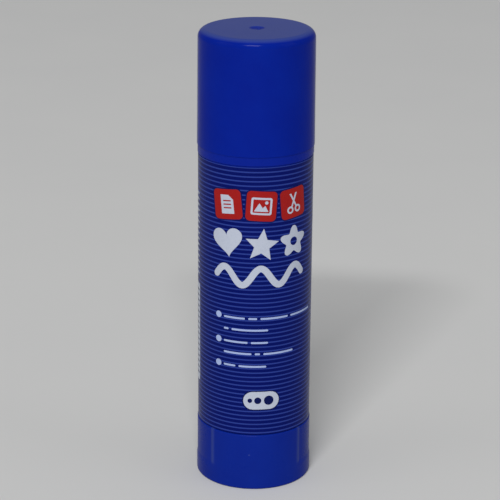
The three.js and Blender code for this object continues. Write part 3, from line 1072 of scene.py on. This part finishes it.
# %% Helper for a helical surface
thread_lead = 4.5
thread_root = 3.2
crest_half = 0.6
root_half = 1.3
thread_steps = 60
thread_weld = 0.002 * mm
cut_slack = 0.01 * mm
collar_height = 1.5
collar_top = nut_foot - running_gap
first_crest = 1.6
thread_middle = collar_top + first_crest


def screw(low, high, clearance):
    """A threaded rod between two heights. A clearance widens it all round, to cut a nut."""
    flank = (root_half - crest_half) / (thread_crest - thread_root)
    spread = clearance * math.hypot(1, flank)
    root, crest = thread_root + clearance, thread_crest + clearance
    at_crest = crest_half + (thread_crest - crest) * flank + spread
    at_root = crest_half + (thread_crest - root) * flank + spread
    turns_below = math.ceil((thread_middle - low) / thread_lead) + 1
    turns = turns_below + math.ceil((high - thread_middle) / thread_lead) + 1
    start = thread_middle - turns_below * thread_lead
    section = [(root, -at_root), (crest, -at_crest), (crest, at_crest), (root, at_root),
               (root, thread_lead - at_root)]
    bm = wire([(radius, start + offset) for radius, offset in section], closed=False)
    rotate_about_axis(bm, -math.pi / 2)
    sweep(bm, -full_turn * turns, thread_steps * turns, rise=thread_lead / thread_steps * mm)
    bmesh.ops.remove_doubles(bm, verts=bm.verts, dist=thread_weld)
    for height, normal in ((low, (0, 0, -1)), (high, (0, 0, 1))):
        bmesh.ops.bisect_plane(bm, geom=everything(bm), dist=weld, plane_co=(0, 0, height * mm),
                               plane_no=normal, clear_outer=True)
    for height in (low, high):
        rim = [edge for edge in bm.edges
               if len(edge.link_faces) == 1 and abs(edge.verts[0].co.z - height * mm) < cut_slack]
        bmesh.ops.contextual_create(bm, geom=rim)
    bmesh.ops.recalc_face_normals(bm, faces=bm.faces)
    return bm


# %% Make the spindle
tip_taper = 2.2
tip_radius = 2.3
collar_steps = 120


def make_spindle():
    journal_radius = key_radius + key_shoulder
    key_top = bearing_under
    collar_foot = collar_top - collar_height
    collar = turned([
        (0, key_top),
        (journal_radius, key_top),
        (journal_radius, collar_foot),
        (collar_radius, collar_foot),
        (collar_radius, collar_top),
        (0, collar_top),
    ], steps=collar_steps)
    thread = screw(collar_top - collar_height / 2, spindle_top, 0)
    taper_foot = spindle_top - tip_taper
    for vert in thread.verts:
        over = vert.co.z / mm - taper_foot
        if over > 0:
            limit = thread_crest - (thread_crest - tip_radius) * over / tip_taper
            radius = radius_of(vert) / mm
            if radius > limit:
                vert.co.x *= limit / radius
                vert.co.y *= limit / radius
    return combine(collar, [hexagon(key_radius, key_foot, key_top + sink), thread], "UNION")


finish_piece(make_spindle(), "spindle_moulding", "knob", natural_plastic,
             ["screw_spindle"])

# %% [markdown]
# ## The carrier
#
# The carrier is a cup that grips the foot of the glue, on a nut that climbs the screw. Four fins stiffen it,
# and two small lugs run in the barrel's keyways. The nut is cut with the same helical surface as the
# spindle, widened by the running gap.

# %% Make the carrier
cup_floor = 1.4
cup_depth = 7
wiper_lip = 0.15
wiper_height = 0.8
fin_drop = 8
fin_setback = 0.4
lug_width = 1.6
lug_height = 4


def make_carrier():
    cup_base = cup_rim - cup_depth
    cup_under = cup_base - cup_floor
    nut_top = cup_base + nut_rise
    nut_radius = thread_crest + running_gap + nut_wall
    cup_radius = bore_radius - running_gap
    cup_inner = cup_radius - cup_wall
    wiper_foot = cup_rim - wiper_height
    bm = turned([
        (0, nut_foot),
        (nut_radius, nut_foot),
        (nut_radius, cup_under),
        (cup_radius, cup_under),
        (cup_radius, wiper_foot),
        (cup_radius + wiper_lip, wiper_foot + wiper_lip),
        (cup_radius + wiper_lip, cup_rim),
        (cup_inner, cup_rim),
        (cup_inner, cup_base),
        (nut_radius, cup_base),
        (nut_radius, nut_top),
        (0, nut_top),
    ])
    fin_foot = cup_under - fin_drop
    split = cup_under + cup_floor / 2
    inner_end, outer_end = nut_radius - sink, cup_radius - fin_setback
    half_fin, half_lug = fin_width / 2, lug_width / 2
    parts = []
    for degrees in (0, 90, 180, 270):
        parts.append(block((inner_end, -half_fin, fin_foot), (outer_end, half_fin, split), degrees))
        parts.append(block((inner_end, -half_fin, split), (cup_inner + sink, half_fin, nut_top), degrees))
    low, high = (outer_end - sink, -half_lug, fin_foot), (lug_radius, half_lug, fin_foot + lug_height)
    bm = combine(bm, parts + blocks_around(low, high, 2), "UNION")
    return combine(bm, [screw(nut_foot - overcut, nut_top + overcut, running_gap)], "DIFFERENCE")


finish_piece(make_carrier(), "carrier_moulding", "carrier", natural_plastic,
             ["glue_carrier"])

# %% [markdown]
# ## Floor, light and camera
#
# The stick stands on a plain pale floor that runs on past the picture. A wide soft lamp stands in front, high
# and a little to the left, so the shadow falls back and to the right. Two weak ones light the sides, so that
# neither goes black. The world gives the even light of a pale room, which the flat top of the cap reflects.
# The camera's place, tilt, roll and lens were fitted to the outline and the even stripes.

# %% Lay the floor
floor_reach = 3


def make_floor():
    bm = bmesh.new()
    bmesh.ops.create_grid(bm, x_segments=1, y_segments=1, size=floor_reach)
    floor = to_object(bm, "floor")
    material, node, place = new_material("floor_paint")
    cloud = node("TexNoise", {"Scale": per_mm(60), "Detail": 3.0}, {"Vector": place})
    tone = node("Mix", {"data_type": "RGBA", 6: colour("#cccccb"), 7: colour("#d0d0ce")}, {0: cloud})
    shader = node("BsdfPrincipled", {"Roughness": 0.7}, {"Base Color": tone.outputs[2]})
    node("OutputMaterial", {}, {"Surface": shader})
    floor.data.materials.append(material)


make_floor()
print("floor:", 2 * floor_reach, "m wide")

# %% Light it


def add_lamp(name, bearing, elevation, distance, width, height, level):
    """A soft lamp aimed at the stick. At level 1, a white face that looks at it renders white."""
    lamp = bpy.data.lights.new(name, "AREA")
    lamp.shape = "RECTANGLE"
    lamp.size = width
    lamp.size_y = height
    lamp.energy = level * (math.pi * distance) ** 2
    bearing, elevation = math.radians(bearing), math.radians(elevation)
    middle = Vector((0, 0, cap_top / 2 * mm))
    towards = Vector((math.sin(bearing) * math.cos(elevation), -math.cos(bearing) * math.cos(elevation),
                      math.sin(elevation)))
    holder = bpy.data.objects.new(name, lamp)
    holder.location = middle + distance * towards
    holder.rotation_euler = (-towards).to_track_quat("-Z", "Y").to_euler()
    bpy.context.scene.collection.objects.link(holder)


add_lamp("key", bearing=-9, elevation=40, distance=4.5, width=1.9, height=0.28, level=0.84)
add_lamp("fill_left", bearing=-70, elevation=28, distance=3, width=1.6, height=1.6, level=0.07)
add_lamp("fill_right", bearing=70, elevation=28, distance=3, width=1.6, height=1.6, level=0.07)

world = bpy.data.worlds.new("room")
world.use_nodes = True
room = world.node_tree.nodes["Background"].inputs
room["Color"].default_value = colour("#dcdde0")
room["Strength"].default_value = 0.38
bpy.context.scene.world = world
bpy.context.scene.view_settings.view_transform = "Standard"
print("lamps:", ", ".join(lamp.name for lamp in bpy.data.lights))

# %% Place the camera
camera_place = Vector((-1.26, -474.67, 222.1)) * mm
camera_tilt = math.radians(18.888)
camera_roll = math.radians(0.449)

camera = bpy.data.cameras.new("camera")
camera.lens = 142.83
camera.sensor_width = 36
viewer = bpy.data.objects.new("camera", camera)
look = Matrix.Rotation(math.pi / 2 - camera_tilt, 4, "X") @ Matrix.Rotation(camera_roll, 4, "Z")
viewer.matrix_world = Matrix.Translation(camera_place) @ look
bpy.context.scene.collection.objects.link(viewer)
bpy.context.scene.camera = viewer
print("camera looks down by", round(math.degrees(camera_tilt), 2), "degrees")

# %% Finish
bpy.context.view_layer.update()
